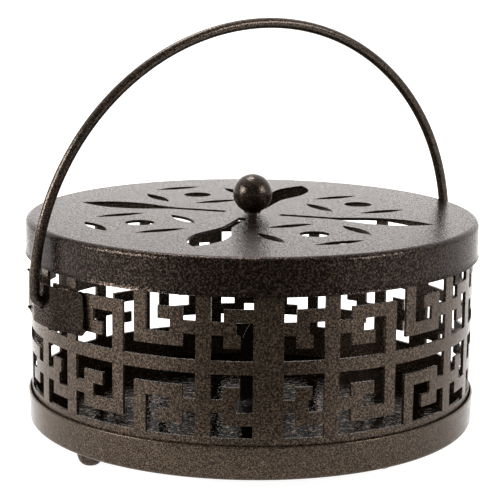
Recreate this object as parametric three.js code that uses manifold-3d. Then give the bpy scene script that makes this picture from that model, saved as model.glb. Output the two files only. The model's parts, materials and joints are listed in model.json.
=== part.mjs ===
// Incense coil burner: a shallow round pan on four feet, a fretwork band, a pierced lift-off lid with
// a ball knob, a bail handle in two welded brackets, and a small stand that holds the coil.
// Millimetres, +Z up, origin on the ground under the centre. The front faces -Y.

import * as THREE from 'three';
import { mergeVertices } from 'three/addons/utils/BufferGeometryUtils.js';
import Module from 'manifold-3d';

const wasm = await Module();
wasm.setup();

// Driving dimensions

// Clearances, and how far a cut runs past what it cuts
const seatGap = 0.3;
const slideGap = 0.35;
const lidGap = 1;
const pivotClearance = 0.4;
const rivetClearance = 0.2;
const cutOverrun = 2;
const weldDistance = 0.0001;

// Feet
const footHeight = 4.4;
const footRadius = 4.3;
const footFlatRadius = 1.6;
const footInset = 9.862;
const footShift = 4.4;
const diagonalShare = Math.SQRT1_2;

// Pan
const panWall = 0.8;
const panHeight = 10.7;
const panFloor = 1;
const panCornerRadius = 1.6;
const panInnerCorner = 0.15;
const panTaper = 0.3;

// Fretwork band
const bandRadius = 73.2;
const bandWall = 1;
const bandHeight = 65.5;
const bottomRailHeight = 11.6;
const topRailHeight = 10.7;
const middleRailHeight = 4;
const seamPostWidth = 9.1;
const postWidth = 4.65;
const smallBarWidth = 3.8;
const smallLipWidth = 1.2;
const fretRepeats = 3;
const scrollsPerRepeat = 2;
const seamTurnDegrees = 4.1;

// Lid
const lidWall = 0.8;
const lidTop = 1;
const lidSkirt = 11.7;
const lidCornerRadius = 1.8;

// Lid piercing: four stemmed leaves, and between them four roundels, each in a ring of slits
const leafCount = 4;
const leafTurnDegrees = 73;
const leafTip = 61;
const leafNeck = 27;
const leafBelly = 46;
const leafHalfWidth = 5.9;
const leafStemStart = 9.5;
const leafStemWidth = 3.2;
const leafShoulderShare = 0.333;
const roundelCircle = 41;
const roundelTurnDegrees = 28.3;
const roundelRadius = 4.7;
const slitOffset = 15.4;
const slitLength = 17.6;
const slitWidth = 4.4;
const slitsPerRoundel = 4;

// Knob and its screw
const knobRadius = 6.5;
const knobNeckRadius = 2.8;
const knobNeckHeight = 0.5;
const screwRadius = 1.5;
const screwDepth = 7;
const screwHeadRadius = 3;
const screwHeadHeight = 1.8;
const screwHeadFlatShare = 0.83;
const washerRadius = 5;
const washerThickness = 0.8;

// Handle and its brackets
const handleTurnDegrees = 30.8;
const handleLeanDegrees = 4.7;
const handleSideGap = 0.7;
const handleRise = 79.6;
const handleLeg = 5.9;
const rodRadius = 1.7;
const rodBend = 3.2;
const upsetRadius = 2.7;
const upsetThickness = 0.9;
const bracketWall = 1;
const bracketHeight = 12.4;
const bracketStand = 2.2;
const bracketCrownHalf = 6.9;
const bracketSlopeHalf = 13.8;
const bracketHalfLength = 20.2;
const bracketDrop = 4.2;

// Coil stand: a strip with one end folded up into a pointed tongue, held by one rivet
const standThickness = 1;
const standWidth = 12.4;
const standFront = 13;
const standBack = 8.5;
const standOffset = 1.7;
const tongueWidth = 10.6;
const tongueHeight = 30;
const tongueShoulder = 17;
const rivetRadius = 1.6;
const rivetHeadRadius = 3.2;
const rivetHeadHeight = 1.3;
const rivetTailRadius = 2.6;
const rivetTailHeight = 0.65;
const rivetDomeShares = [[1, 0], [0.9, 0.5], [0.5, 1]];

// How finely round shapes are cut
const ringSides = 72;
const smallSides = 16;
const footSides = 12;
const rodSides = 8;
const rodSteps = 96;
const cornerSteps = 3;
const domeSteps = 3;
const leafSteps = 5;
const knobSteps = 10;
const tongueSteps = 4;

// Places worked out from the sizes above
const panBottomZ = footHeight;
const panTopZ = panBottomZ + panHeight;
const bandBottomZ = panBottomZ + panFloor + seatGap;
const bandTopZ = bandBottomZ + bandHeight;
const lidTopZ = bandTopZ + seatGap + lidTop;
const lidBottomZ = lidTopZ - lidSkirt;
const panOuterRadius = bandRadius + slideGap + panWall;
const footHalfSpan = (panOuterRadius - footInset) * diagonalShare;
const bandInnerRadius = bandRadius - bandWall;
const lidRadius = bandRadius + lidGap + lidWall;
const pivotZ = lidBottomZ - bracketDrop - bracketHeight / 2;
const crownInnerRadius = bandRadius + bracketStand;
const handleHalfSpan = crownInnerRadius + bracketWall + handleSideGap + rodRadius;

const bronzePaint = (name, colour, roughness) => {
  const material = new THREE.MeshStandardMaterial({ color: colour, roughness, metalness: 0.6 });
  material.name = name;
  return material;
};
const hammeredBronze = bronzePaint('hammered_bronze', 0x4a3f39, 0.5);
const hammeredDark = bronzePaint('hammered_dark', 0x332c29, 0.5);
const blackSteel = bronzePaint('black_steel', 0x26211f, 0.6);

// Turning between a three.js geometry and a solid that can be cut

function toSolid(geometry) {
  const bare = geometry.clone();
  bare.deleteAttribute('normal');
  bare.deleteAttribute('uv');
  const merged = mergeVertices(bare, weldDistance);
  return new wasm.Manifold(new wasm.Mesh({
    numProp: 3,
    vertProperties: new Float32Array(merged.attributes.position.array),
    triVerts: new Uint32Array(merged.index.array),
  }));
}

function toGeometry(solid) {
  const mesh = solid.getMesh();
  const geometry = new THREE.BufferGeometry();
  geometry.setAttribute('position', new THREE.BufferAttribute(new Float32Array(mesh.vertProperties), 3));
  geometry.setIndex(new THREE.BufferAttribute(new Uint32Array(mesh.triVerts), 1));
  geometry.computeVertexNormals();
  return geometry;
}

function joined(solids) {
  return solids.reduce((whole, next) => whole.add(next));
}

function node(name, geometry, material) {
  const mesh = new THREE.Mesh(geometry, material);
  mesh.name = name;
  return mesh;
}

const radians = THREE.MathUtils.degToRad;

// A solid of revolution about Z from points given as [radius, height], anticlockwise
function turned(points, sides) {
  const outline = points.map(([radius, height]) => new THREE.Vector2(radius, height));
  const geometry = new THREE.LatheGeometry([...outline, outline[0]], sides);
  geometry.rotateX(Math.PI / 2);
  return geometry;
}

// Points of a quarter round about a centre, from one angle to another
function cornerArc(centreRadius, centreHeight, radius, from, to, steps) {
  const points = [];
  for (let step = 0; step <= steps; step += 1) {
    const angle = radians(from + (to - from) * step / steps);
    points.push([centreRadius + radius * Math.cos(angle), centreHeight + radius * Math.sin(angle)]);
  }
  return points;
}

function disc(radius, height, bottomZ, sides) {
  const geometry = new THREE.CylinderGeometry(radius, radius, height, sides);
  geometry.rotateX(Math.PI / 2);
  geometry.translate(0, 0, bottomZ + height / 2);
  return geometry;
}

function slab(shape, height, bottomZ) {
  const geometry = new THREE.ExtrudeGeometry(shape, { depth: height, bevelEnabled: false });
  geometry.translate(0, 0, bottomZ);
  return geometry;
}

// Feet: four pressed domes at the corners of a square that sits a little to the left

function makeFeet() {
  const feet = new THREE.Group();
  const dome = [[0, footHeight], [0, 0], [footFlatRadius, 0]];
  for (let step = 1; step <= domeSteps; step += 1) {
    const rise = step / domeSteps;
    const reach = Math.sqrt(1 - (1 - rise) ** 2);
    dome.push([footFlatRadius + (footRadius - footFlatRadius) * reach, footHeight * rise]);
  }
  const corners = { front_left: [-1, -1], front_right: [1, -1], back_right: [1, 1], back_left: [-1, 1] };
  Object.entries(corners).forEach(([corner, [across, back]]) => {
    const foot = node(`foot_${corner}`, turned(dome, footSides), hammeredBronze);
    foot.position.set(across * footHalfSpan - footShift, back * footHalfSpan, 0);
    feet.add(foot);
  });
  return feet;
}

// Pan: a pressed tray whose wall leans out a little

function makePan() {
  const footEdge = panOuterRadius - panTaper;
  const profile = [
    [0, panBottomZ],
    ...cornerArc(footEdge - panCornerRadius, panBottomZ + panCornerRadius, panCornerRadius, -90, 0,
      cornerSteps),
    [panOuterRadius, panTopZ],
    [panOuterRadius - panWall, panTopZ],
    [panOuterRadius - panWall, panBottomZ + panFloor + panInnerCorner],
    [panOuterRadius - panWall - panInnerCorner, panBottomZ + panFloor],
    [0, panBottomZ + panFloor],
  ];
  const tray = toSolid(turned(profile, ringSides));
  const hole = toSolid(disc(rivetRadius + rivetClearance, panFloor + 2 * cutOverrun,
    panBottomZ - cutOverrun, smallSides));
  return node('base_pan', toGeometry(tray.subtract(hole)), hammeredBronze);
}

// Band: three repeats of a fret, drawn as rows of open (.) and solid (#) columns from the top rail
// to the middle rail. The rows below the middle rail mirror them.

const smallBayRows = [
  '....',
  '.###',
  '##..',
  '.##.',
  '....',
];
const scrollBayRows = [
  '......#....',
  '.####.#.##.',
  '##..#.#..##',
  '.##.#.####.',
  '....#......',
];

function fretColumns() {
  const repeatArc = 2 * Math.PI * bandRadius / fretRepeats;
  const smallWidths = [smallBarWidth, smallBarWidth, smallLipWidth, smallBarWidth];
  const smallBay = smallWidths.reduce((sum, width) => sum + width);
  const scrollCount = scrollBayRows[0].length;
  const postsAndSmallBays = 2 * scrollsPerRepeat * postWidth + (scrollsPerRepeat + 1) * smallBay;
  const scrollsArc = repeatArc - seamPostWidth - postsAndSmallBays;
  const scrollWidth = scrollsArc / (scrollsPerRepeat * scrollCount);
  const columns = [];
  let place = seamPostWidth / 2;
  const addBay = (rows, widths) => {
    widths.forEach((width, index) => {
      columns.push({ from: place, to: place + width, marks: rows.map((row) => row[index]) });
      place += width;
    });
  };
  const addPost = () => {
    columns.push({ from: place, to: place + postWidth, marks: smallBayRows.map(() => '#') });
    place += postWidth;
  };
  addBay(smallBayRows, smallWidths);
  for (let scroll = 0; scroll < scrollsPerRepeat; scroll += 1) {
    addPost();
    addBay(scrollBayRows, Array(scrollCount).fill(scrollWidth));
    addPost();
    addBay(smallBayRows, smallWidths);
  }
  return columns;
}

// A wedge of ring that cuts the band from one place along its arc to another
function ringCutter(from, to, bottomZ, topZ) {
  const inner = bandInnerRadius - cutOverrun;
  const outer = bandRadius + cutOverrun;
  const steps = Math.max(1, Math.ceil((to - from) / postWidth));
  const at = (radius, step) => {
    const angle = (from + (to - from) * step / steps) / bandRadius;
    return new THREE.Vector2(radius * Math.sin(angle), -radius * Math.cos(angle));
  };
  const outline = [];
  for (let step = 0; step <= steps; step += 1) {
    outline.push(at(outer, step));
  }
  for (let step = steps; step >= 0; step -= 1) {
    outline.push(at(inner, step));
  }
  return toSolid(slab(new THREE.Shape(outline), topZ - bottomZ, bottomZ));
}

// The first and last index of every unbroken open run in a list of marks
function openRuns(marks) {
  const runs = [];
  let start = -1;
  [...marks, '#'].forEach((mark, index) => {
    if (mark === '.' && start < 0) {
      start = index;
    }
    if (mark === '#' && start >= 0) {
      runs.push([start, index - 1]);
      start = -1;
    }
  });
  return runs;
}

// The openings of one half of the fret: the runs along each row, and those down each column that
// join two rows or more
function fretOpenings(columns, rowCount) {
  const openings = [];
  for (let row = 0; row < rowCount; row += 1) {
    openRuns(columns.map((column) => column.marks[row])).forEach(([first, last]) => {
      openings.push({ from: columns[first].from, to: columns[last].to, top: row, bottom: row + 1 });
    });
  }
  columns.forEach(({ from, to, marks }) => {
    const tallRuns = openRuns(marks).filter(([first, last]) => last > first);
    tallRuns.forEach(([first, last]) => {
      openings.push({ from, to, top: first, bottom: last + 1 });
    });
  });
  return openings;
}

function makeBand() {
  const rowCount = smallBayRows.length;
  const lowZ = bandBottomZ + bottomRailHeight;
  const highZ = bandTopZ - topRailHeight;
  const rowHeight = (highZ - lowZ - middleRailHeight) / (2 * rowCount);
  const cutters = [];
  fretOpenings(fretColumns(), rowCount).forEach(({ from, to, top, bottom }) => {
    cutters.push(ringCutter(from, to, highZ - bottom * rowHeight, highZ - top * rowHeight));
    cutters.push(ringCutter(from, to, lowZ + top * rowHeight, lowZ + bottom * rowHeight));
  });
  const oneRepeat = joined(cutters);
  const ring = turned([
    [bandInnerRadius, bandBottomZ],
    [bandRadius, bandBottomZ],
    [bandRadius, bandTopZ],
    [bandInnerRadius, bandTopZ],
  ], ringSides);
  let band = toSolid(ring);
  for (let repeat = 0; repeat < fretRepeats; repeat += 1) {
    band = band.subtract(oneRepeat.rotate([0, 0, seamTurnDegrees + repeat * 360 / fretRepeats]));
  }
  return node('fret_band', toGeometry(band), hammeredBronze);
}

// Lid

// A leaf with pointed ends: two arcs through its tips, length along X
function lensShape(length, width) {
  const half = length / 2;
  const shape = new THREE.Shape();
  shape.moveTo(-half, 0);
  shape.quadraticCurveTo(0, -width, half, 0);
  shape.quadraticCurveTo(0, width, -half, 0);
  return shape;
}

// A stemmed leaf along +X, its tip at leafTip
function stemmedLeafShape() {
  const stem = leafStemWidth / 2;
  const shoulder = stem + leafHalfWidth * leafShoulderShare;
  const near = (leafNeck + leafBelly) / 2;
  const far = (leafBelly + leafTip) / 2;
  const shape = new THREE.Shape();
  shape.moveTo(leafStemStart, -stem);
  shape.lineTo(leafNeck, -stem);
  shape.bezierCurveTo(near, -shoulder, near, -leafHalfWidth, leafBelly, -leafHalfWidth);
  shape.quadraticCurveTo(far, -leafHalfWidth, leafTip, 0);
  shape.quadraticCurveTo(far, leafHalfWidth, leafBelly, leafHalfWidth);
  shape.bezierCurveTo(near, leafHalfWidth, near, shoulder, leafNeck, stem);
  shape.lineTo(leafStemStart, stem);
  return shape;
}

function lidCutter(shape, curveSteps) {
  const geometry = new THREE.ExtrudeGeometry(shape, {
    depth: lidTop + 2 * cutOverrun, bevelEnabled: false, curveSegments: curveSteps,
  });
  geometry.translate(0, 0, lidTopZ - lidTop - cutOverrun);
  return toSolid(geometry);
}

function lidCutters() {
  const leaf = lidCutter(stemmedLeafShape(), leafSteps);
  const slit = lidCutter(lensShape(slitLength, slitWidth), leafSteps);
  const roundShape = new THREE.Shape();
  roundShape.absarc(0, 0, roundelRadius, 0, 2 * Math.PI);
  const roundel = lidCutter(roundShape, smallSides / 2);
  const cutters = [];
  for (let index = 0; index < leafCount; index += 1) {
    const quarter = index * 360 / leafCount;
    const toRoundel = (solid) => solid.translate([roundelCircle, 0, 0])
      .rotate([0, 0, roundelTurnDegrees + quarter]);
    cutters.push(leaf.rotate([0, 0, leafTurnDegrees + quarter]));
    cutters.push(toRoundel(roundel));
    for (let place = 0; place < slitsPerRoundel; place += 1) {
      // The outer slit of the first roundel is left uncut, as on the real lid
      const uncut = index === 0 && place === 0;
      if (!uncut) {
        const turnedSlit = slit.rotate([0, 0, 90]).translate([slitOffset, 0, 0]);
        cutters.push(toRoundel(turnedSlit.rotate([0, 0, place * 360 / slitsPerRoundel])));
      }
    }
  }
  cutters.push(toSolid(disc(screwRadius + pivotClearance, lidTop + 2 * cutOverrun,
    lidTopZ - lidTop - cutOverrun, smallSides)));
  return joined(cutters);
}

function makeLid() {
  const innerCorner = lidCornerRadius - lidWall;
  const profile = [
    [0, lidTopZ - lidTop],
    [lidRadius - lidWall - innerCorner, lidTopZ - lidTop],
    [lidRadius - lidWall, lidTopZ - lidTop - innerCorner],
    [lidRadius - lidWall, lidBottomZ],
    [lidRadius, lidBottomZ],
    ...cornerArc(lidRadius - lidCornerRadius, lidTopZ - lidCornerRadius, lidCornerRadius, 0, 90,
      cornerSteps),
    [0, lidTopZ],
  ];
  const cap = toSolid(turned(profile, ringSides));
  return node('lid', toGeometry(cap.subtract(lidCutters())), hammeredDark);
}

// Knob: a ball with a small seat ground on it, bored for the screw that comes up through the lid

function makeKnob() {
  const bottomZ = lidTopZ + seatGap;
  const centreZ = bottomZ + knobNeckHeight + Math.sqrt(knobRadius ** 2 - knobNeckRadius ** 2);
  const startAngle = -THREE.MathUtils.radToDeg(Math.acos(knobNeckRadius / knobRadius));
  const profile = [
    [0, bottomZ],
    [knobNeckRadius, bottomZ],
    ...cornerArc(0, centreZ, knobRadius, startAngle, 90, knobSteps).slice(0, -1),
    [0, centreZ + knobRadius],
  ];
  const ball = toSolid(turned(profile, smallSides));
  const bore = toSolid(disc(screwRadius + seatGap, screwDepth + cutOverrun,
    bottomZ - cutOverrun, smallSides));
  return node('knob', toGeometry(ball.subtract(bore)), hammeredDark);
}

function makeKnobWasher() {
  const bottomZ = lidTopZ - lidTop - seatGap - washerThickness;
  const ring = toSolid(disc(washerRadius, washerThickness, bottomZ, smallSides));
  const bore = toSolid(disc(screwRadius + seatGap, washerThickness + 2 * cutOverrun,
    bottomZ - cutOverrun, smallSides));
  return node('knob_washer', toGeometry(ring.subtract(bore)), blackSteel);
}

function makeKnobScrew() {
  const seatZ = lidTopZ - lidTop - seatGap - washerThickness - seatGap;
  const shankTopZ = lidTopZ + screwDepth - seatGap;
  const profile = [
    [0, seatZ - screwHeadHeight],
    [screwHeadRadius * screwHeadFlatShare, seatZ - screwHeadHeight],
    [screwHeadRadius, seatZ - screwHeadHeight / 2],
    [screwHeadRadius, seatZ],
    [screwRadius, seatZ],
    [screwRadius, shankTopZ],
    [0, shankTopZ],
  ];
  return node('knob_screw', turned(profile, smallSides), blackSteel);
}

// Handle: a round rod bent into a bail. Its ends turn inwards through the brackets and are upset
// into small heads behind them.

const rodEndRadius = crownInnerRadius - 2 * seatGap - upsetThickness;

function handleCurve() {
  const curve = new THREE.CurvePath();
  const side = (sign) => {
    const along = (distance, height) => new THREE.Vector3(sign * distance, 0, height);
    const stub = new THREE.LineCurve3(along(rodEndRadius + upsetThickness / 2, 0),
      along(handleHalfSpan - rodBend, 0));
    const bend = new THREE.QuadraticBezierCurve3(along(handleHalfSpan - rodBend, 0),
      along(handleHalfSpan, 0), along(handleHalfSpan, rodBend));
    const leg = new THREE.LineCurve3(along(handleHalfSpan, rodBend), along(handleHalfSpan, handleLeg));
    return [stub, bend, leg];
  };
  side(-1).forEach((piece) => curve.add(piece));
  const arch = new THREE.EllipseCurve(0, handleLeg, handleHalfSpan, handleRise, Math.PI, 0, true);
  const archPoints = arch.getSpacedPoints(rodSteps)
    .map((point) => new THREE.Vector3(point.x, 0, point.y));
  curve.add(new THREE.CatmullRomCurve3(archPoints));
  side(1).reverse().forEach((piece) => {
    const back = piece.isLineCurve3
      ? new THREE.LineCurve3(piece.v2, piece.v1)
      : new THREE.QuadraticBezierCurve3(piece.v2, piece.v1, piece.v0);
    curve.add(back);
  });
  return curve;
}

function makeHandle() {
  const section = new THREE.Shape();
  section.absarc(0, 0, rodRadius, 0, 2 * Math.PI);
  const rod = toSolid(new THREE.ExtrudeGeometry(section, {
    steps: rodSteps, curveSegments: rodSides / 2, extrudePath: handleCurve(),
  }));
  const heads = [-1, 1].map((sign) => {
    const head = new THREE.CylinderGeometry(upsetRadius, upsetRadius, upsetThickness, smallSides);
    head.rotateZ(Math.PI / 2);
    head.translate(sign * (rodEndRadius + upsetThickness / 2), 0, 0);
    return toSolid(head);
  });
  const handle = node('handle', toGeometry(joined([rod, ...heads])), hammeredDark);
  const tilt = new THREE.Group();
  tilt.rotation.x = radians(handleLeanDegrees);
  tilt.add(handle);
  const turn = new THREE.Group();
  turn.rotation.z = radians(handleTurnDegrees);
  turn.position.z = pivotZ;
  turn.add(tilt);
  return turn;
}

// Brackets: a strip bent to the band, crowned in the middle where the handle's end turns

function bracketShape() {
  const flange = bandRadius + seatGap;
  const stations = [
    [-bracketHalfLength, flange],
    [-(bracketHalfLength + bracketSlopeHalf) / 2, flange],
    [-bracketSlopeHalf, flange],
    [-bracketCrownHalf, crownInnerRadius],
    [0, crownInnerRadius],
    [bracketCrownHalf, crownInnerRadius],
    [bracketSlopeHalf, flange],
    [(bracketHalfLength + bracketSlopeHalf) / 2, flange],
    [bracketHalfLength, flange],
  ];
  const at = ([along, radius], extra) => {
    const angle = along / bandRadius;
    return new THREE.Vector2((radius + extra) * Math.cos(angle), (radius + extra) * Math.sin(angle));
  };
  const outer = stations.map((station) => at(station, bracketWall));
  const inner = stations.map((station) => at(station, 0)).reverse();
  return new THREE.Shape([...outer, ...inner]);
}

function makeBracket(name, turnDegrees) {
  const strip = toSolid(slab(bracketShape(), bracketHeight, pivotZ - bracketHeight / 2));
  const bore = new THREE.CylinderGeometry(rodRadius + pivotClearance, rodRadius + pivotClearance,
    bracketWall + 2 * cutOverrun, smallSides);
  bore.rotateZ(Math.PI / 2);
  bore.translate(crownInnerRadius + bracketWall / 2, 0, pivotZ);
  const bracket = node(name, toGeometry(strip.subtract(toSolid(bore))), hammeredBronze);
  bracket.rotation.z = radians(turnDegrees);
  return bracket;
}

// Coil stand

function makeStand() {
  const floorZ = panBottomZ + panFloor + seatGap;
  const half = standWidth / 2;
  const foot = new THREE.Shape([
    new THREE.Vector2(-half, -standFront),
    new THREE.Vector2(half, -standFront),
    new THREE.Vector2(half, standBack),
    new THREE.Vector2(-half, standBack),
  ]);
  const tongueHalf = tongueWidth / 2;
  const tongue = new THREE.Shape();
  tongue.moveTo(-tongueHalf, 0);
  tongue.lineTo(tongueHalf, 0);
  tongue.lineTo(tongueHalf, tongueShoulder);
  tongue.quadraticCurveTo(tongueHalf, (tongueShoulder + tongueHeight) / 2, 0, tongueHeight);
  tongue.quadraticCurveTo(-tongueHalf, (tongueShoulder + tongueHeight) / 2, -tongueHalf, tongueShoulder);
  const upright = new THREE.ExtrudeGeometry(tongue, {
    depth: standThickness, bevelEnabled: false, curveSegments: tongueSteps,
  });
  upright.rotateX(Math.PI / 2);
  upright.translate(0, standBack, floorZ);
  const bore = toSolid(disc(rivetRadius + rivetClearance, standThickness + 2 * cutOverrun,
    floorZ - cutOverrun, smallSides)).translate([-standOffset, 0, 0]);
  const solid = toSolid(slab(foot, standThickness, floorZ)).subtract(bore).add(toSolid(upright));
  const stand = node('coil_stand', toGeometry(solid), blackSteel);
  stand.position.x = standOffset;
  return stand;
}

function makeStandRivet() {
  const headZ = panBottomZ + panFloor + seatGap + standThickness + seatGap;
  const tailZ = panBottomZ - seatGap;
  const dome = rivetDomeShares.map(([reach, rise]) => [
    rivetHeadRadius * reach,
    headZ + rivetHeadHeight * rise,
  ]);
  const profile = [
    [0, tailZ - rivetTailHeight],
    [rivetTailRadius, tailZ - rivetTailHeight],
    [rivetTailRadius, tailZ],
    [rivetRadius, tailZ],
    [rivetRadius, headZ],
    ...dome,
    [0, headZ + rivetHeadHeight],
  ];
  return node('stand_rivet', turned(profile, smallSides), blackSteel);
}

const burner = new THREE.Group();
burner.add(
  makeFeet(),
  makePan(),
  makeBand(),
  makeStand(),
  makeStandRivet(),
  makeBracket('bracket_left', handleTurnDegrees + 180),
  makeBracket('bracket_right', handleTurnDegrees),
  makeHandle(),
  makeLid(),
  makeKnob(),
  makeKnobWasher(),
  makeKnobScrew(),
);

export default burner;
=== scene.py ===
"""An incense coil burner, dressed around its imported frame.

The frame gives every size and place in metres, +Z up, with the front facing -Y. Each sub-assembly is a
class that reads its sizes from the frame, builds its meshes and dresses them. Sheet thicknesses, cut
patterns and small radii that the frame doesn't state are fields of the class they belong to.
"""

import json
import logging
import math
from dataclasses import dataclass, field
from enum import Enum
from typing import Callable, Final, Iterable, Sequence, TypeAlias

import bmesh
import bpy
from mathutils import Matrix, Vector


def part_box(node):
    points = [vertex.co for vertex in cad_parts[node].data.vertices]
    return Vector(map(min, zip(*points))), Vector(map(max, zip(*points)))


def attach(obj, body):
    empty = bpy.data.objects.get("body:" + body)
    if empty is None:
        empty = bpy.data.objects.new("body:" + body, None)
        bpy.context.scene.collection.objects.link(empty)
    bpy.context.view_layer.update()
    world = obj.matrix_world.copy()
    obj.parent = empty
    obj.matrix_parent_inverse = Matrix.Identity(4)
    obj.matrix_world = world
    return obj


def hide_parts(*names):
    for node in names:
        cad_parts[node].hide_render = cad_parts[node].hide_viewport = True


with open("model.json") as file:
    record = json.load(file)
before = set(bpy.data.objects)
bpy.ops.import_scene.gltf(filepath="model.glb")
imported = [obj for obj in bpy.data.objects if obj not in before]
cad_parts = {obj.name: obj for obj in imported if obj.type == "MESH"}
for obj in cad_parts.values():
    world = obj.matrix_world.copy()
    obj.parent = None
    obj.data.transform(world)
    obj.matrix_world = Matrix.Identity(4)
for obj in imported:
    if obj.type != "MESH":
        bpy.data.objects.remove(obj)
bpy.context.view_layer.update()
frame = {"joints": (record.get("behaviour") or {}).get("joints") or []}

Point: TypeAlias = tuple[float, float]
Outline: TypeAlias = list[Point]

LOG: Final[logging.Logger] = logging.getLogger("burner")
MM: Final[float] = 0.001
UP: Final[Vector] = Vector((0.0, 0.0, 1.0))
RING_STEPS: Final[int] = 288
# Points closer than this, in metres, are one point
TOUCHING: Final[float] = 1e-7
# The most that rounding adds up to over many steps, in metres
ROUNDING: Final[float] = 1e-6


class Body(Enum):
    """The three bodies that pieces ride on."""

    BASE = "base"
    HANDLE = "handle"
    LID = "lid"


class Side(Enum):
    """The two ends of the handle."""

    RIGHT = 1
    LEFT = -1

    @property
    def word(self) -> str:
        """The side, as the names of nodes and pieces have it."""
        return self.name.lower()


def linear(hex_colour: str) -> tuple[float, float, float, float]:
    """Turn an sRGB hex value into linear light.

    Args:
        hex_colour: Six hex digits after a hash sign.

    Returns:
        Linear red, green, blue and an alpha of one.
    """
    digits = hex_colour.lstrip("#")
    channels = [int(digits[place:place + 2], 16) / 255 for place in (0, 2, 4)]
    red, green, blue = (
        value / 12.92 if value <= 0.04045 else ((value + 0.055) / 1.055) ** 2.4 for value in channels
    )
    return red, green, blue, 1.0


def set_inputs(tree: bpy.types.NodeTree, node: bpy.types.Node, inputs: dict[str | int, object]) -> None:
    """Set a node's sockets, or link them.

    Args:
        tree: The node tree that the node is in.
        node: The node.
        inputs: Socket names or numbers with a value, or with the output socket linked to them.
    """
    for socket, value in inputs.items():
        if isinstance(value, bpy.types.NodeSocket):
            tree.links.new(value, node.inputs[socket])
        else:
            node.inputs[socket].default_value = value


def add_node(
    tree: bpy.types.NodeTree,
    kind: str,
    inputs: dict[str | int, object] | None = None,
    stops: Sequence[tuple[float, object]] = (),
    **settings: object,
) -> bpy.types.Node:
    """Add a shader node with its settings, values and links.

    Args:
        tree: The node tree that gets the node.
        kind: The node's type name.
        inputs: Its sockets, as set_inputs takes them.
        stops: Places and colours of a colour ramp, lowest first.
        **settings: The node's own properties.

    Returns:
        The new node.
    """
    node = tree.nodes.new(kind)
    for name, value in settings.items():
        setattr(node, name, value)
    set_inputs(tree, node, inputs or {})
    for index, (place, colour) in enumerate(stops):
        elements = node.color_ramp.elements
        element = elements[index] if index < 2 else elements.new(place)
        element.position = place
        element.color = colour
    return node


def start_material(name: str) -> tuple[bpy.types.Material, bpy.types.NodeTree, bpy.types.Node]:
    """Start a material that has only its shader.

    Args:
        name: The material's name.

    Returns:
        The material, its node tree and its shader.
    """
    material = bpy.data.materials.new(name)
    material.use_nodes = True
    return material, material.node_tree, material.node_tree.nodes["Principled BSDF"]


@dataclass(frozen=True)
class PowderCoat:
    """A powder coat baked on sheet steel, a glossy hammertone unless its fields say otherwise.

    Hammertone powder draws together as it melts, so the coat lies in worm-shaped swellings about a
    millimetre apart over darker valleys. It is a dark bronze that mirrors the room softly. At a grazing
    angle it mirrors in its two edge tones, so a white room turns it a lightly speckled grey. A coat
    without an edge shade has one edge tone.
    """

    name: str
    valley: str = "#1e1711"
    coat: str = "#342a21"
    crest: str = "#524538"
    grain_mm: float = 0.55
    relief_mm: float = 0.12
    roughness: float = 0.06
    valley_roughness: float = 0.14
    metallic: float = 0.6
    edge_tint: str = "#e6dfda"
    edge_shade: str | None = "#c2bbb6"
    flakes_per_grain: float = 3.4
    flake_contrast: float = 0.35

    def build(self) -> bpy.types.Material:
        """Make the material on object coordinates, so its grain has a real size.

        Returns:
            The finished material.
        """
        material, tree, shader = start_material(self.name)
        place = add_node(tree, "ShaderNodeTexCoord").outputs["Object"]
        grain = self.grain_mm * MM
        swellings = add_node(
            tree,
            "ShaderNodeTexNoise",
            {"Vector": place, "Scale": 1.0 / grain, "Detail": 1.5, "Roughness": 0.45, "Distortion": 0.6},
        )
        flake = add_node(
            tree,
            "ShaderNodeTexNoise",
            {"Vector": place, "Scale": self.flakes_per_grain / grain, "Detail": 2.0, "Roughness": 0.6},
        )
        height = add_node(
            tree,
            "ShaderNodeMapRange",
            {"Value": swellings.outputs["Fac"], "From Min": 0.3, "From Max": 0.7},
            interpolation_type="SMOOTHSTEP",
        )
        tone = add_node(
            tree,
            "ShaderNodeMath",
            {0: flake.outputs["Fac"], 1: self.flake_contrast, 2: -self.flake_contrast / 2},
            operation="MULTIPLY_ADD",
        )
        mixed = add_node(
            tree,
            "ShaderNodeMath",
            {0: height.outputs["Result"], 1: tone.outputs["Value"]},
            operation="ADD",
            use_clamp=True,
        )
        colour = add_node(
            tree,
            "ShaderNodeValToRGB",
            {"Fac": mixed.outputs["Value"]},
            stops=((0.1, linear(self.valley)), (0.55, linear(self.coat)), (1.0, linear(self.crest))),
        )
        gloss = add_node(
            tree,
            "ShaderNodeMapRange",
            {"Value": height.outputs["Result"], "To Min": self.valley_roughness, "To Max": self.roughness},
        )
        bump = add_node(
            tree,
            "ShaderNodeBump",
            {"Height": swellings.outputs["Fac"], "Distance": self.relief_mm * MM, "Strength": 1.0},
        )
        edge = linear(self.edge_tint)
        if self.edge_shade is not None:
            edge = add_node(
                tree,
                "ShaderNodeValToRGB",
                {"Fac": mixed.outputs["Value"]},
                stops=((0.25, linear(self.edge_shade)), (0.75, edge)),
            ).outputs["Color"]
        surface = {
            "Base Color": colour.outputs["Color"],
            "Specular Tint": edge,
            "Roughness": gloss.outputs["Result"],
            "Normal": bump.outputs["Normal"],
            "Metallic": self.metallic,
        }
        set_inputs(tree, shader, surface)
        return material


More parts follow.
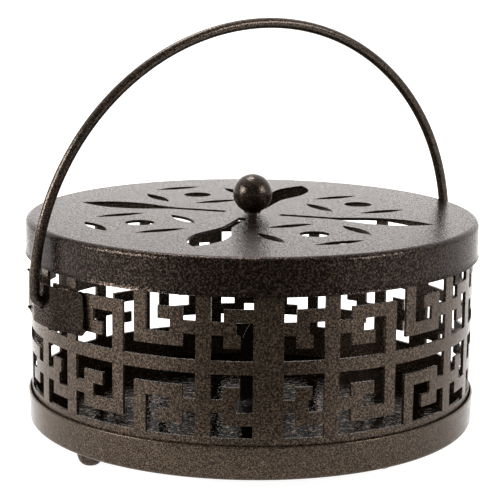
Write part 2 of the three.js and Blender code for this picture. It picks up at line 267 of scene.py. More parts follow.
@dataclass(frozen=True)
class PlatedSteel:
    """Bare or zinc-plated steel of small hardware, dulled by handling.

    Turning or heading leaves fine rings and scratches, so its highlight is soft, with a faint
    mottling of the plating.
    """

    name: str
    light: str = "#a9a6a1"
    dark: str = "#6f6a64"
    mottle_mm: float = 1.4
    scratch_mm: float = 0.25
    scratch_depth_mm: float = 0.02
    roughness: float = 0.38

    def build(self) -> bpy.types.Material:
        """Make the material.

        Returns:
            The finished material.
        """
        material, tree, shader = start_material(self.name)
        place = add_node(tree, "ShaderNodeTexCoord").outputs["Object"]
        mottle = add_node(
            tree,
            "ShaderNodeTexNoise",
            {"Vector": place, "Scale": 1.0 / (self.mottle_mm * MM), "Detail": 3.0},
        )
        scratch = add_node(
            tree,
            "ShaderNodeTexNoise",
            {"Vector": place, "Scale": 1.0 / (self.scratch_mm * MM), "Detail": 2.0},
        )
        colour = add_node(
            tree,
            "ShaderNodeValToRGB",
            {"Fac": mottle.outputs["Fac"]},
            stops=((0.3, linear(self.dark)), (0.7, linear(self.light))),
        )
        smooth, rough = self.roughness * 0.8, self.roughness * 1.3
        gloss = add_node(
            tree,
            "ShaderNodeMapRange",
            {"Value": scratch.outputs["Fac"], "To Min": smooth, "To Max": rough},
        )
        bump = add_node(
            tree,
            "ShaderNodeBump",
            {"Height": scratch.outputs["Fac"], "Distance": self.scratch_depth_mm * MM, "Strength": 0.6},
        )
        surface = {
            "Base Color": colour.outputs["Color"],
            "Roughness": gloss.outputs["Result"],
            "Normal": bump.outputs["Normal"],
            "Metallic": 1.0,
        }
        set_inputs(tree, shader, surface)
        return material


# The band is the plain bronze that the others differ from: brown, with light crests and dark valleys
BAND_COAT: Final[PowderCoat] = PowderCoat("hammertone_powder_coat")
# The pan and the feet have the same bronze with a finer, calmer grain
PAN_COAT: Final[PowderCoat] = PowderCoat("hammertone_powder_coat_pan", grain_mm=0.42, relief_mm=0.08)
# The pan's floor and inner wall have a darker, glossier copy of its bronze, whose darkness is painted shade
# for the burner's dark inside. Its edge tones swing from near black to pale with the grain, so the floor's
# reflection breaks into painted light and dark patches over its real speckle. The floor is seen only at a
# grazing angle, where its real grain would blend to a flat grey, so the grain is drawn three times as coarse
INSIDE_COAT: Final[PowderCoat] = PowderCoat(
    "hammertone_powder_coat_inside",
    valley="#0e0b09",
    coat="#1c1712",
    crest="#3b3129",
    grain_mm=1.7,
    relief_mm=0.13,
    roughness=0.03,
    valley_roughness=0.08,
    metallic=0.85,
    edge_tint="#c4beb9",
    edge_shade="#14110e",
)
# The lid is a darker bronze: its skirt is nearly black in front, and its top mirrors the room in a speckle
LID_COAT: Final[PowderCoat] = PowderCoat(
    "hammertone_powder_coat_lid",
    valley="#120e0b",
    coat="#1b1612",
    crest="#3b3129",
    grain_mm=0.6,
    relief_mm=0.13,
    edge_tint="#b1a19a",
    edge_shade="#423a36",
)
# The brackets are nearly black face on, and turn pale where they are seen edge on
BRACKET_COAT: Final[PowderCoat] = PowderCoat(
    "hammertone_powder_coat_bracket",
    valley="#0d0a08",
    coat="#15110d",
    crest="#342a22",
    grain_mm=0.5,
    relief_mm=0.08,
    metallic=0.9,
    edge_tint="#e6dfda",
    edge_shade="#a39a94",
)
# The wire's thin coat has a fine grain, which breaks the highlight along it
WIRE_COAT: Final[PowderCoat] = PowderCoat(
    "hammertone_powder_coat_wire",
    valley="#16110d",
    coat="#2a221b",
    crest="#4e4238",
    grain_mm=0.4,
    relief_mm=0.07,
)
# The ball has the finest grain and a dark face with small highlights
KNOB_COAT: Final[PowderCoat] = PowderCoat(
    "hammertone_powder_coat_knob",
    valley="#120e0b",
    coat="#211a14",
    crest="#42372c",
    grain_mm=0.38,
    relief_mm=0.06,
)
# The coil stand's plain satin coat is an even near-black, with only wide, soft highlights
STAND_COAT: Final[PowderCoat] = PowderCoat(
    "satin_powder_coat_stand",
    valley="#16130f",
    coat="#1c1814",
    crest="#221d19",
    relief_mm=0.1,
    roughness=0.3,
    valley_roughness=0.4,
    edge_tint="#8a8580",
    edge_shade=None,
)
# Zinc plating gives the screw and washer a bright soft grey, and the rivet is a darker, rougher grey
PLATED_STEEL: Final[PlatedSteel] = PlatedSteel("zinc_plated_steel")
RIVET_STEEL: Final[PlatedSteel] = PlatedSteel(
    "dark_rough_rivet_steel", light="#332e2a", dark="#1e1b19", roughness=0.5
)


def blank(outlines: Iterable[Sequence[Point]]) -> bmesh.types.BMesh:
    """Fill a flat sheet from its outer outline and the outlines of its holes.

    Args:
        outlines: Closed outlines as points in X and Y, the outer one first.

    Returns:
        A mesh of the sheet at height zero, facing up.
    """
    sheet = bmesh.new()
    for outline in outlines:
        corners = [sheet.verts.new((x, y, 0.0)) for x, y in outline]
        for corner, following in zip(corners, corners[1:] + corners[:1]):
            sheet.edges.new((corner, following))
    bmesh.ops.triangle_fill(sheet, edges=sheet.edges[:], use_beauty=True, normal=UP)
    return sheet


def score(sheet: bmesh.types.BMesh, axis: Vector, places: Iterable[float]) -> None:
    """Cut a sheet into strips across an axis, so that it can be bent there.

    Args:
        sheet: The flat sheet.
        axis: The direction across which the cuts lie.
        places: The distance of each cut along the axis.
    """
    for place in places:
        everything = sheet.verts[:] + sheet.edges[:] + sheet.faces[:]
        bmesh.ops.bisect_plane(sheet, geom=everything, dist=TOUCHING, plane_co=axis * place, plane_no=axis)


def form(sheet: bmesh.types.BMesh, place: Callable[[Vector], Vector]) -> None:
    """Move every vertex of a sheet to where a rule puts it.

    Args:
        sheet: The mesh to form.
        place: Gives the new place of a point.
    """
    for vert in sheet.verts:
        vert.co = place(vert.co)


def draw_out(
    shape: bmesh.types.BMesh, row: Sequence[bmesh.types.BMEdge]
) -> tuple[list[bmesh.types.BMVert], list[bmesh.types.BMEdge], list[bmesh.types.BMFace]]:
    """Extrude a row of edges, and leave the new row where the old one is, to be moved.

    Args:
        shape: The mesh that the row is in.
        row: The edges to extrude.

    Returns:
        The new vertices, the new row of edges and the faces between the two rows.
    """
    drawn = bmesh.ops.extrude_edge_only(shape, edges=row)["geom"]
    points = [item for item in drawn if isinstance(item, bmesh.types.BMVert)]
    lines = [item for item in drawn if isinstance(item, bmesh.types.BMEdge)]
    faces = [item for item in drawn if isinstance(item, bmesh.types.BMFace)]
    ends = set(points)
    return points, [line for line in lines if ends.issuperset(line.verts)], faces


def face_outwards(ring: bmesh.types.BMesh) -> None:
    """Turn a sheet's faces away from the vertical axis if they point to it.

    Args:
        ring: A sheet bent round the axis, its faces all pointing the same way.
    """
    face = next(iter(ring.faces))
    if face.normal.dot(face.calc_center_median().xy.to_3d()) < 0:
        bmesh.ops.reverse_faces(ring, faces=ring.faces[:])


def press(sheet: bmesh.types.BMesh, wall: float, rim: float) -> None:
    """Give a sheet its wall, and round the front edge of every cut, as a coat of powder does.

    Args:
        sheet: A sheet without thickness, its faces pointing outwards.
        wall: The wall's thickness, behind the faces.
        rim: How wide the rounding is.
    """
    steps_in = 0.4 * rim, 0.6 * rim
    edge_drop, middle_drop = 0.75 * rim, 0.25 * rim
    inner = sheet.faces[:]
    edge = {vert for line in sheet.edges if line.is_boundary for vert in line.verts}
    border = []
    for step_in in steps_in:
        border = bmesh.ops.inset_region(
            sheet, faces=inner, thickness=step_in, use_boundary=True, use_even_offset=True
        )["faces"]
    kept = {vert for face in inner for vert in face.verts}
    middle = {vert for face in border for vert in face.verts} - kept
    sheet.normal_update()
    behind = sheet.verts.layers.float_vector.new("behind")
    normals = [(vert, vert.normal.copy()) for vert in sheet.verts]
    for vert, normal in normals:
        vert[behind] = vert.co - normal * wall
        if vert in edge:
            vert.co -= normal * edge_drop
        elif vert in middle:
            vert.co -= normal * middle_drop
    drawn = bmesh.ops.extrude_face_region(sheet, geom=sheet.faces[:], use_keep_orig=True)["geom"]
    for item in drawn:
        if isinstance(item, bmesh.types.BMVert):
            item.co = item[behind]
    sheet.verts.layers.float_vector.remove(behind)


def spun(profile: Sequence[Point], closed: bool = False, steps: int = RING_STEPS) -> bmesh.types.BMesh:
    """Spin a profile once round the vertical axis.

    Args:
        profile: Points as radius and height.
        closed: Whether the profile's last point joins its first.
        steps: How many steps the full turn has.

    Returns:
        The closed mesh.
    """
    turned = bmesh.new()
    points = [turned.verts.new((radius, 0.0, height)) for radius, height in profile]
    pairs = list(zip(points, points[1:]))
    if closed:
        pairs.append((points[-1], points[0]))
    lines = [turned.edges.new(pair) for pair in pairs]
    bmesh.ops.spin(
        turned, geom=points + lines, cent=(0, 0, 0), axis=UP, angle=math.tau, steps=steps, use_merge=True,
        use_duplicate=False,
    )
    bmesh.ops.remove_doubles(turned, verts=turned.verts[:], dist=TOUCHING)
    return turned


def join(target: bmesh.types.BMesh, other: bmesh.types.BMesh) -> None:
    """Add another mesh's shapes to a mesh.

    Args:
        target: The mesh that gets them.
        other: The mesh that they come from. It is freed.
    """
    carrier = bpy.data.meshes.new("carrier")
    other.to_mesh(carrier)
    other.free()
    target.from_mesh(carrier)
    bpy.data.meshes.remove(carrier)


def arc(centre: Point, radius: float, start: float, end: float, steps: int) -> Outline:
    """Points along an arc.

    Args:
        centre: The arc's centre.
        radius: The arc's radius.
        start: Its first angle, in degrees.
        end: Its last angle, in degrees.
        steps: How many steps it has.

    Returns:
        One point more than there are steps.
    """
    angles = [math.radians(start + (end - start) * step / steps) for step in range(steps + 1)]
    return [(centre[0] + radius * math.cos(a), centre[1] + radius * math.sin(a)) for a in angles]


def circle(centre: Point, radius: float, steps: int) -> Outline:
    """A closed round outline."""
    return arc(centre, radius, 0, 360, steps)[:-1]


def bezier(points: Sequence[Point], steps: int) -> Outline:
    """Points along a Bezier curve of any degree, without its last point.

    Args:
        points: The curve's ends, with its control points between them.
        steps: How many steps it has.

    Returns:
        As many points as there are steps.
    """
    along = []
    for step in range(steps):
        share = step / steps
        level = list(points)
        while len(level) > 1:
            level = [
                (a[0] + (b[0] - a[0]) * share, a[1] + (b[1] - a[1]) * share)
                for a, b in zip(level, level[1:])
            ]
        along.append(level[0])
    return along


def turned_outline(outline: Sequence[Point], degrees: float) -> Outline:
    """An outline turned about the origin."""
    cosine, sine = math.cos(math.radians(degrees)), math.sin(math.radians(degrees))
    return [(x * cosine - y * sine, x * sine + y * cosine) for x, y in outline]


def shifted_outline(outline: Sequence[Point], along: float) -> Outline:
    """An outline moved along X."""
    return [(x + along, y) for x, y in outline]


def rounded_rectangle(low: Point, high: Point, radius: float, steps: int = 6) -> Outline:
    """A rectangle with round corners.

    Args:
        low: Its lowest corner.
        high: Its highest corner.
        radius: The corners' radius.
        steps: How many steps each corner has.

    Returns:
        The closed outline, anticlockwise.
    """
    left, right, bottom, top = low[0] + radius, high[0] - radius, low[1] + radius, high[1] - radius
    return (
        arc((right, bottom), radius, -90, 0, steps)
        + arc((right, top), radius, 0, 90, steps)
        + arc((left, top), radius, 90, 180, steps)
        + arc((left, bottom), radius, 180, 270, steps)
    )


def to_object(shape: bmesh.types.BMesh, name: str, material: bpy.types.Material) -> bpy.types.Object:
    """Put a shape into the scene.

    Args:
        shape: The shape, in place, in metres. It is freed.
        name: The name of the object and its mesh.
        material: Its material.

    Returns:
        The new object.
    """
    mesh = bpy.data.meshes.new(name)
    shape.to_mesh(mesh)
    shape.free()
    mesh.materials.append(material)
    placed = bpy.data.objects.new(name, mesh)
    bpy.context.scene.collection.objects.link(placed)
    return placed


def dress(
    shape: bmesh.types.BMesh,
    name: str,
    body: Body,
    material: bpy.types.Material,
    nodes: Sequence[str],
    crease: float = 40.0,
) -> bpy.types.Object:
    """Turn a finished shape into a piece of the burner.

    Args:
        shape: The shape, in place, in metres. It is freed.
        name: The piece's name.
        body: The body that it rides on.
        material: Its finish.
        nodes: The frame's nodes that it stands for.
        crease: Edges sharper than this many degrees stay sharp.

    Returns:
        The new object.
    """
    bmesh.ops.remove_doubles(shape, verts=shape.verts[:], dist=TOUCHING)
    bmesh.ops.recalc_face_normals(shape, faces=shape.faces[:])
    piece = to_object(shape, name, material)
    mesh = piece.data
    mesh.polygons.foreach_set("use_smooth", [True] * len(mesh.polygons))
    mesh.set_sharp_from_angle(angle=math.radians(crease))
    even = piece.modifiers.new("even_shading", "WEIGHTED_NORMAL")
    even.keep_sharp = True
    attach(piece, body.value)
    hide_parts(*nodes)
    LOG.info("%s rides on %s and has %d faces", name, body.value, len(mesh.polygons))
    return piece


@dataclass
class Feet:
    """Four small pressed domes that are welded under the pan."""

    flat_radius: float = 1.6 * MM
    steps: int = 48

    def shape(self, node: str) -> bmesh.types.BMesh:
        """Shape one dome.

        Args:
            node: The frame's node whose place it takes.

        Returns:
            The dome, standing in place.
        """
        low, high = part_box(node)
        radius = (high.x - low.x) / 2
        height = high.z - low.z
        reach = radius - self.flat_radius
        side = [(self.flat_radius + x * reach, high.z + y * height) for x, y in arc((0, 0), 1, -90, 0, 12)]
        dome = spun([(0.0, low.z), *side, (0.0, high.z)], steps=self.steps)
        middle = (low + high) / 2
        bmesh.ops.translate(dome, verts=dome.verts[:], vec=(middle.x, middle.y, 0))
        return dome

    def build(self, material: bpy.types.Material) -> None:
        """Make and dress the four feet.

        Args:
            material: Their finish.
        """
        for corner in ("front_left", "front_right", "back_right", "back_left"):
            node = f"foot_{corner}"
            dress(self.shape(node), f"foot_dome_{corner}", Body.BASE, material, [node])


@dataclass
class Pan:
    """The shallow pressed tray that the band stands in."""

    wall: float = 0.8 * MM
    floor: float = 1.0 * MM
    corner: float = 1.6 * MM
    inner_corner: float = 0.15 * MM
    taper: float = 0.3 * MM
    rivet_hole: float = 1.8 * MM

    def shape(self) -> bmesh.types.BMesh:
        """Shape the tray, with its wall leaning out a little and a round lip.

        Returns:
            The tray. Its floor and its wall's inner face take the second finish.
        """
        low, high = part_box("base_pan")
        radius = high.x
        lip = self.wall / 2
        foot = radius - self.taper - self.corner
        floor_z = low.z + self.floor
        inside = radius - self.wall
        profile = [
            (self.rivet_hole, low.z),
            *arc((foot, low.z + self.corner), self.corner, -90, 0, 10),
            *arc((radius - lip, high.z - lip), lip, 0, 180, 8),
            (inside, floor_z + self.inner_corner),
            (inside - self.inner_corner, floor_z),
            (self.rivet_hole, floor_z),
        ]
        tray = spun(profile, closed=True)
        for face in tray.faces:
            middle = face.calc_center_median()
            face.material_index = int(middle.z > floor_z - ROUNDING and middle.xy.length < inside)
        return tray

    def build(self, coat: bpy.types.Material, inner_coat: bpy.types.Material) -> None:
        """Make and dress the pan.

        Args:
            coat: The finish of its outside.
            inner_coat: The darker finish of its floor and of its wall's inner face, whose darkness is
                painted shade.
        """
        tray = dress(self.shape(), "pan_pressing", Body.BASE, coat, ["base_pan"])
        tray.data.materials.append(inner_coat)


@dataclass
class FretBand:
    """The sheet ring, pierced with two mirrored rows of scrolls that repeat three times round.

    The bays are drawn from an outer rail to the middle one, with a dot for an opening and # for metal.
    """

    wall: float = 1.0 * MM
    bottom_rail: float = 11.6 * MM
    top_rail: float = 10.7 * MM
    middle_rail: float = 4.0 * MM
    seam_post: float = 9.1 * MM
    post: float = 4.65 * MM
    small_bar: float = 3.8 * MM
    small_lip: float = 1.2 * MM
    repeats: int = 3
    scrolls: int = 2
    seam_turn: float = math.radians(4.1)
    rim: float = 0.22 * MM
    step: float = 1.5 * MM
    small_bay: tuple[str, ...] = (
        "....",
        ".###",
        "##..",
        ".##.",
        "....",
    )
    scroll_bay: tuple[str, ...] = (
        "......#....",
        ".####.#.##.",
        "##..#.#..##",
        ".##.#.####.",
        "....#......",
    )

    def columns(self, radius: float) -> list[tuple[float, tuple[str, ...]]]:
        """List one repeat's columns.

        Args:
            radius: The band's outer radius, on which the widths are measured.

        Returns:
            Each column's width and its marks from an outer rail to the middle one, # for metal.
        """
        metal = ("#",) * len(self.small_bay)
        small_widths = (self.small_bar, self.small_bar, self.small_lip, self.small_bar)
        count = len(self.scroll_bay[0])
        small = [
            (width, tuple(row[place] for row in self.small_bay)) for place, width in enumerate(small_widths)
        ]
        taken = self.seam_post + 2 * self.scrolls * self.post + (self.scrolls + 1) * sum(small_widths)
        scroll_width = (math.tau * radius / self.repeats - taken) / (self.scrolls * count)
        scroll = [(scroll_width, tuple(row[place] for row in self.scroll_bay)) for place in range(count)]
        half_seam = [(self.seam_post / 2, metal)]
        pillar = [(self.post, metal)]
        return half_seam + small + (pillar + scroll + pillar + small) * self.scrolls + half_seam

    def rows(self) -> tuple[list[float], list[int | None]]:
        """List the strip's rows.

        Returns:
            The heights that bound the rows, lowest first, and the place of each row's mark in a column,
            or None for a rail.
        """
        low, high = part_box("fret_band")
        count = len(self.small_bay)
        low_z, high_z = low.z + self.bottom_rail, high.z - self.top_rail
        row = (high_z - low_z - self.middle_rail) / (2 * count)
        levels = [low.z]
        levels += [low_z + row * place for place in range(count + 1)]
        levels += [high_z - row * place for place in range(count, -1, -1)]
        levels += [high.z]
        return levels, [None, *range(count), None, *range(count - 1, -1, -1), None]

    def shape(self) -> bmesh.types.BMesh:
        """Shape the band: a strip drawn out column by column, opened, rolled up and thickened.

        Returns:
            The band.
        """
        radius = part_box("fret_band")[1].x
        levels, marks_at = self.rows()
        strip = bmesh.new()
        ends = [strip.verts.new((0.0, 0.0, level)) for level in levels]
        front = [strip.edges.new(pair) for pair in zip(ends, ends[1:])]
        opened = []
        for width, marks in self.columns(radius) * self.repeats:
            steps = max(1, math.ceil(width / self.step))
            for _ in range(steps):
                points, front, faces = draw_out(strip, front)
                bmesh.ops.translate(strip, verts=points, vec=(width / steps, 0, 0))
                for face in faces:
                    height = face.calc_center_median().z
                    mark = marks_at[sum(level < height for level in levels) - 1]
                    if mark is not None and marks[mark] == ".":
                        opened.append(face)
        bmesh.ops.delete(strip, geom=opened, context="FACES")
        form(strip, lambda point: self.rolled(point, radius))
        bmesh.ops.remove_doubles(strip, verts=strip.verts[:], dist=ROUNDING)
        bmesh.ops.recalc_face_normals(strip, faces=strip.faces[:])
        face_outwards(strip)
        press(strip, self.wall, self.rim)
        return strip

    def rolled(self, point: Vector, radius: float) -> Vector:
        """Where a point of the flat strip comes to lie on the ring."""
        angle = point.x / radius + self.seam_turn
        return Vector((radius * math.sin(angle), -radius * math.cos(angle), point.z))

    def build(self, material: bpy.types.Material) -> None:
        """Make and dress the band."""
        dress(self.shape(), "band_fretwork", Body.BASE, material, ["fret_band"])


@dataclass
class CoilStand:
    """A strip riveted to the pan, with one end folded up into a pointed tongue."""

    wall: float = 1.0 * MM
    corner: float = 1.2 * MM
    fold: float = 1.6 * MM
    fold_steps: int = 8
    tongue_half: float = 5.3 * MM
    shoulder_rise: float = 17.0 * MM
    rim: float = 0.2 * MM
    rivet_hole: float = 1.8 * MM
    rivet_radius: float = 1.6 * MM
    rivet_tail: float = 2.6 * MM

    def strip(self) -> bmesh.types.BMesh:
        """Shape the strip: cut flat, folded and thickened.

        Returns:
            The strip.
        """
        low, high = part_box("coil_stand")
        middle = (low.x + high.x) / 2
        half = (high.x - low.x) / 2
        fold_start = high.y - self.fold
        fold_end = fold_start + self.fold * math.pi / 2
        shoulder = fold_end + self.shoulder_rise - self.fold
        tip = fold_end + (high.z - low.z) - self.fold
        bulge = (shoulder + tip) / 2
        outline = [
            *arc((half - self.corner, low.y + self.corner), self.corner, -90, 0, 6),
            *arc((half - self.corner, fold_start - self.corner), self.corner, 0, 60, 4),
            (self.tongue_half, fold_start),
            *bezier(((self.tongue_half, shoulder), (self.tongue_half, bulge), (0.0, tip)), 12),
            *bezier(((0.0, tip), (-self.tongue_half, bulge), (-self.tongue_half, shoulder)), 12),
            (-self.tongue_half, shoulder),
            (-self.tongue_half, fold_start),
            *arc((self.corner - half, fold_start - self.corner), self.corner, 120, 180, 4),
            *arc((self.corner - half, low.y + self.corner), self.corner, 180, 270, 6),
        ]
        hole = circle((-middle, 0.0), self.rivet_hole, 32)
        sheet = blank([outline, hole])
        step = (fold_end - fold_start) / self.fold_steps
        score(sheet, Vector((0, 1, 0)), [fold_start + step * index for index in range(self.fold_steps + 1)])

        def folded(point: Vector) -> Vector:
            """Fold a point of the flat strip.

            Args:
                point: The point.

            Returns:
                Where it comes to lie.
            """
            past = point.y - fold_start
            angle = min(max(past / self.fold, 0.0), math.pi / 2)
            straight = max(point.y - fold_end, 0.0)
            y = min(point.y, fold_start) + self.fold * math.sin(angle)
            z = low.z + self.fold * (1 - math.cos(angle)) + straight
            return Vector((point.x + middle, y, z))

        form(sheet, folded)
        bmesh.ops.reverse_faces(sheet, faces=sheet.faces[:])
        press(sheet, self.wall, self.rim)
        return sheet

    def rivet(self) -> bmesh.types.BMesh:
        """Shape the rivet: a flat tail under the pan, a shank and a domed head.

        Returns:
            The rivet.
        """
        low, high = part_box("stand_rivet")
        head_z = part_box("coil_stand")[0].z + self.wall
        tail_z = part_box("base_pan")[0].z
        head = high.x
        dome = [(head * x, head_z + (high.z - head_z) * y) for x, y in arc((0, 0), 1, 0, 90, 12)]
        profile = [
            (0.0, low.z),
            (self.rivet_tail, low.z),
            (self.rivet_tail, tail_z),
            (self.rivet_radius, tail_z),
            (self.rivet_radius, head_z),
            *dome,
        ]
        return spun(profile, steps=48)

    def build(self, coat: bpy.types.Material, steel: bpy.types.Material) -> None:
        """Make and dress the stand and its rivet."""
        dress(self.strip(), "stand_strip", Body.BASE, coat, ["coil_stand"])
        dress(self.rivet(), "stand_rivet_head", Body.BASE, steel, ["stand_rivet"])


@dataclass
class Bracket:
    """A strip welded to the band, crowned in the middle where the handle's end turns."""

    side: Side
    pivot: Vector
    axis: Vector
    wall: float = 1.0 * MM
    stand: float = 2.2 * MM
    gap: float = 0.3 * MM
    crown_half: float = 6.9 * MM
    slope_half: float = 13.8 * MM
    half_length: float = 20.2 * MM
    soften: float = 1.3 * MM
    corner: float = 1.5 * MM
    bore: float = 2.1 * MM
    rim: float = 0.2 * MM
    cuts: int = 56

    def rise(self, along: float) -> float:
        """Find how far the strip stands off the band, with its bends softened.

        Args:
            along: A place along the strip, from its middle.

        Returns:
            The distance from the band to the strip's back.
        """
        samples = [along + self.soften * offset for offset in (-1, -0.6, -0.2, 0.2, 0.6, 1)]
        slope = self.slope_half - self.crown_half
        shares = [min(max((self.slope_half - abs(place)) / slope, 0.0), 1.0) for place in samples]
        return self.gap + (self.stand - self.gap) * sum(shares) / len(shares)

    def shape(self) -> bmesh.types.BMesh:
        """Shape the strip: cut flat, bent to the band and thickened.

        Returns:
            The strip, in place.
        """
        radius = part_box("fret_band")[1].x
        low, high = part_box(f"bracket_{self.side.word}")
        half_height = (high.z - low.z) / 2
        turn = math.atan2(self.axis.y, self.axis.x) + (0.0 if self.side is Side.RIGHT else math.pi)
        outline = rounded_rectangle(
            (-self.half_length, -half_height), (self.half_length, half_height), self.corner
        )
        sheet = blank([outline, circle((0.0, 0.0), self.bore, 32)])
        places = [self.half_length * (2 * cut / self.cuts - 1) for cut in range(1, self.cuts)]
        score(sheet, Vector((1, 0, 0)), places)

        def bent(point: Vector) -> Vector:
            """Bend a point of the flat strip.

            Args:
                point: The point.

            Returns:
                Where it comes to lie against the band.
            """
            angle = turn + point.x / radius
            reach = radius + self.rise(point.x) + self.wall
            return Vector((reach * math.cos(angle), reach * math.sin(angle), self.pivot.z + point.y))

        form(sheet, bent)
        face_outwards(sheet)
        press(sheet, self.wall, self.rim)
        return sheet

    def build(self, material: bpy.types.Material) -> None:
        """Make and dress the bracket."""
        name, node = f"bracket_strip_{self.side.word}", f"bracket_{self.side.word}"
        dress(self.shape(), name, Body.BASE, material, [node])


@dataclass
class Handle:
    """The bail: one round wire bent to an arch, its ends turned in and headed behind the brackets."""

    pivot: Vector
    axis: Vector
    lean: float = math.radians(4.7)
    rod: float = 1.7 * MM
    half_span: float = 78.8 * MM
    arch_rise: float = 79.6 * MM
    leg: float = 5.9 * MM
    bend: float = 3.2 * MM
    end_reach: float = 74.35 * MM
    head_radius: float = 2.7 * MM
    head_wall: float = 0.9 * MM
    head_edge: float = 0.27 * MM
    sides: int = 24
    arch_steps: int = 160

    def path(self) -> Outline:
        """Draw the wire's centreline in its own plane.

        Returns:
            Its points from the left end over the top to the right end.
        """
        turn = self.half_span - self.bend
        left = [
            (-self.end_reach, 0.0),
            *arc((-turn, self.bend), self.bend, 270, 180, 8),
        ]
        top = [
            (self.half_span * math.cos(angle), self.leg + self.arch_rise * math.sin(angle))
            for angle in (math.pi * (1 - step / self.arch_steps) for step in range(self.arch_steps + 1))
        ]
        right = [(-x, z) for x, z in reversed(left)]
        return left + top + right

    def wire(self) -> bmesh.types.BMesh:
        """Shape the wire: a circle drawn along the centreline, turned to follow it at each step.

        Returns:
            The wire, upright with its ends on the X axis.
        """
        path = [Vector((x, 0.0, z)) for x, z in self.path()]
        steps = [following - point for point, following in zip(path, path[1:])]
        headings = [math.atan2(step.z, step.x) for step in steps]
        corners = [headings[0]]
        corners += [
            first + math.remainder(second - first, math.tau) / 2
            for first, second in zip(headings, headings[1:])
        ]
        corners.append(headings[-1])
        tube = bmesh.new()
        standing = Matrix.Translation(path[0]) @ Matrix.Rotation(math.pi / 2 - corners[0], 4, "Y")
        bmesh.ops.create_circle(tube, segments=self.sides, radius=self.rod, cap_ends=True, matrix=standing)
        ring = tube.edges[:]
        for point, point_before, corner, corner_before in zip(path[1:], path, corners[1:], corners):
            verts, ring, _ = draw_out(tube, ring)
            bmesh.ops.translate(tube, verts=verts, vec=point - point_before)
            turn = Matrix.Rotation(corner_before - corner, 3, "Y")
            bmesh.ops.rotate(tube, verts=verts, cent=point, matrix=turn)
        bmesh.ops.contextual_create(tube, geom=ring)
        return tube

    def end_head(self, side: Side) -> bmesh.types.BMesh:
        """Shape the small head that keeps one end of the wire in its bracket.

        Args:
            side: The wire's end.

        Returns:
            The head, in place on the upright wire.
        """
        half = self.head_wall / 2
        flat_radius, flat_height = self.head_radius - self.head_edge, half - self.head_edge
        profile = [
            (0.0, -half),
            *arc((flat_radius, -flat_height), self.head_edge, -90, 0, 4),
            *arc((flat_radius, flat_height), self.head_edge, 0, 90, 4),
            (0.0, half),
        ]
        head = spun(profile, steps=32)
        end = Matrix.Translation((side.value * self.end_reach, 0, 0))
        bmesh.ops.transform(head, matrix=end @ Matrix.Rotation(math.pi / 2, 4, "Y"), verts=head.verts[:])
        return head

    def build(self, material: bpy.types.Material) -> None:
        """Make and dress the handle.

        Args:
            material: Its finish.
        """
        bail = self.wire()
        for side in Side:
            join(bail, self.end_head(side))
        turn = Matrix.Rotation(math.atan2(self.axis.y, self.axis.x), 4, "Z")
        place = Matrix.Translation(self.pivot) @ turn @ Matrix.Rotation(self.lean, 4, "X")
        bmesh.ops.transform(bail, matrix=place, verts=bail.verts[:])
        dress(bail, "handle_wire", Body.HANDLE, material, ["handle"])


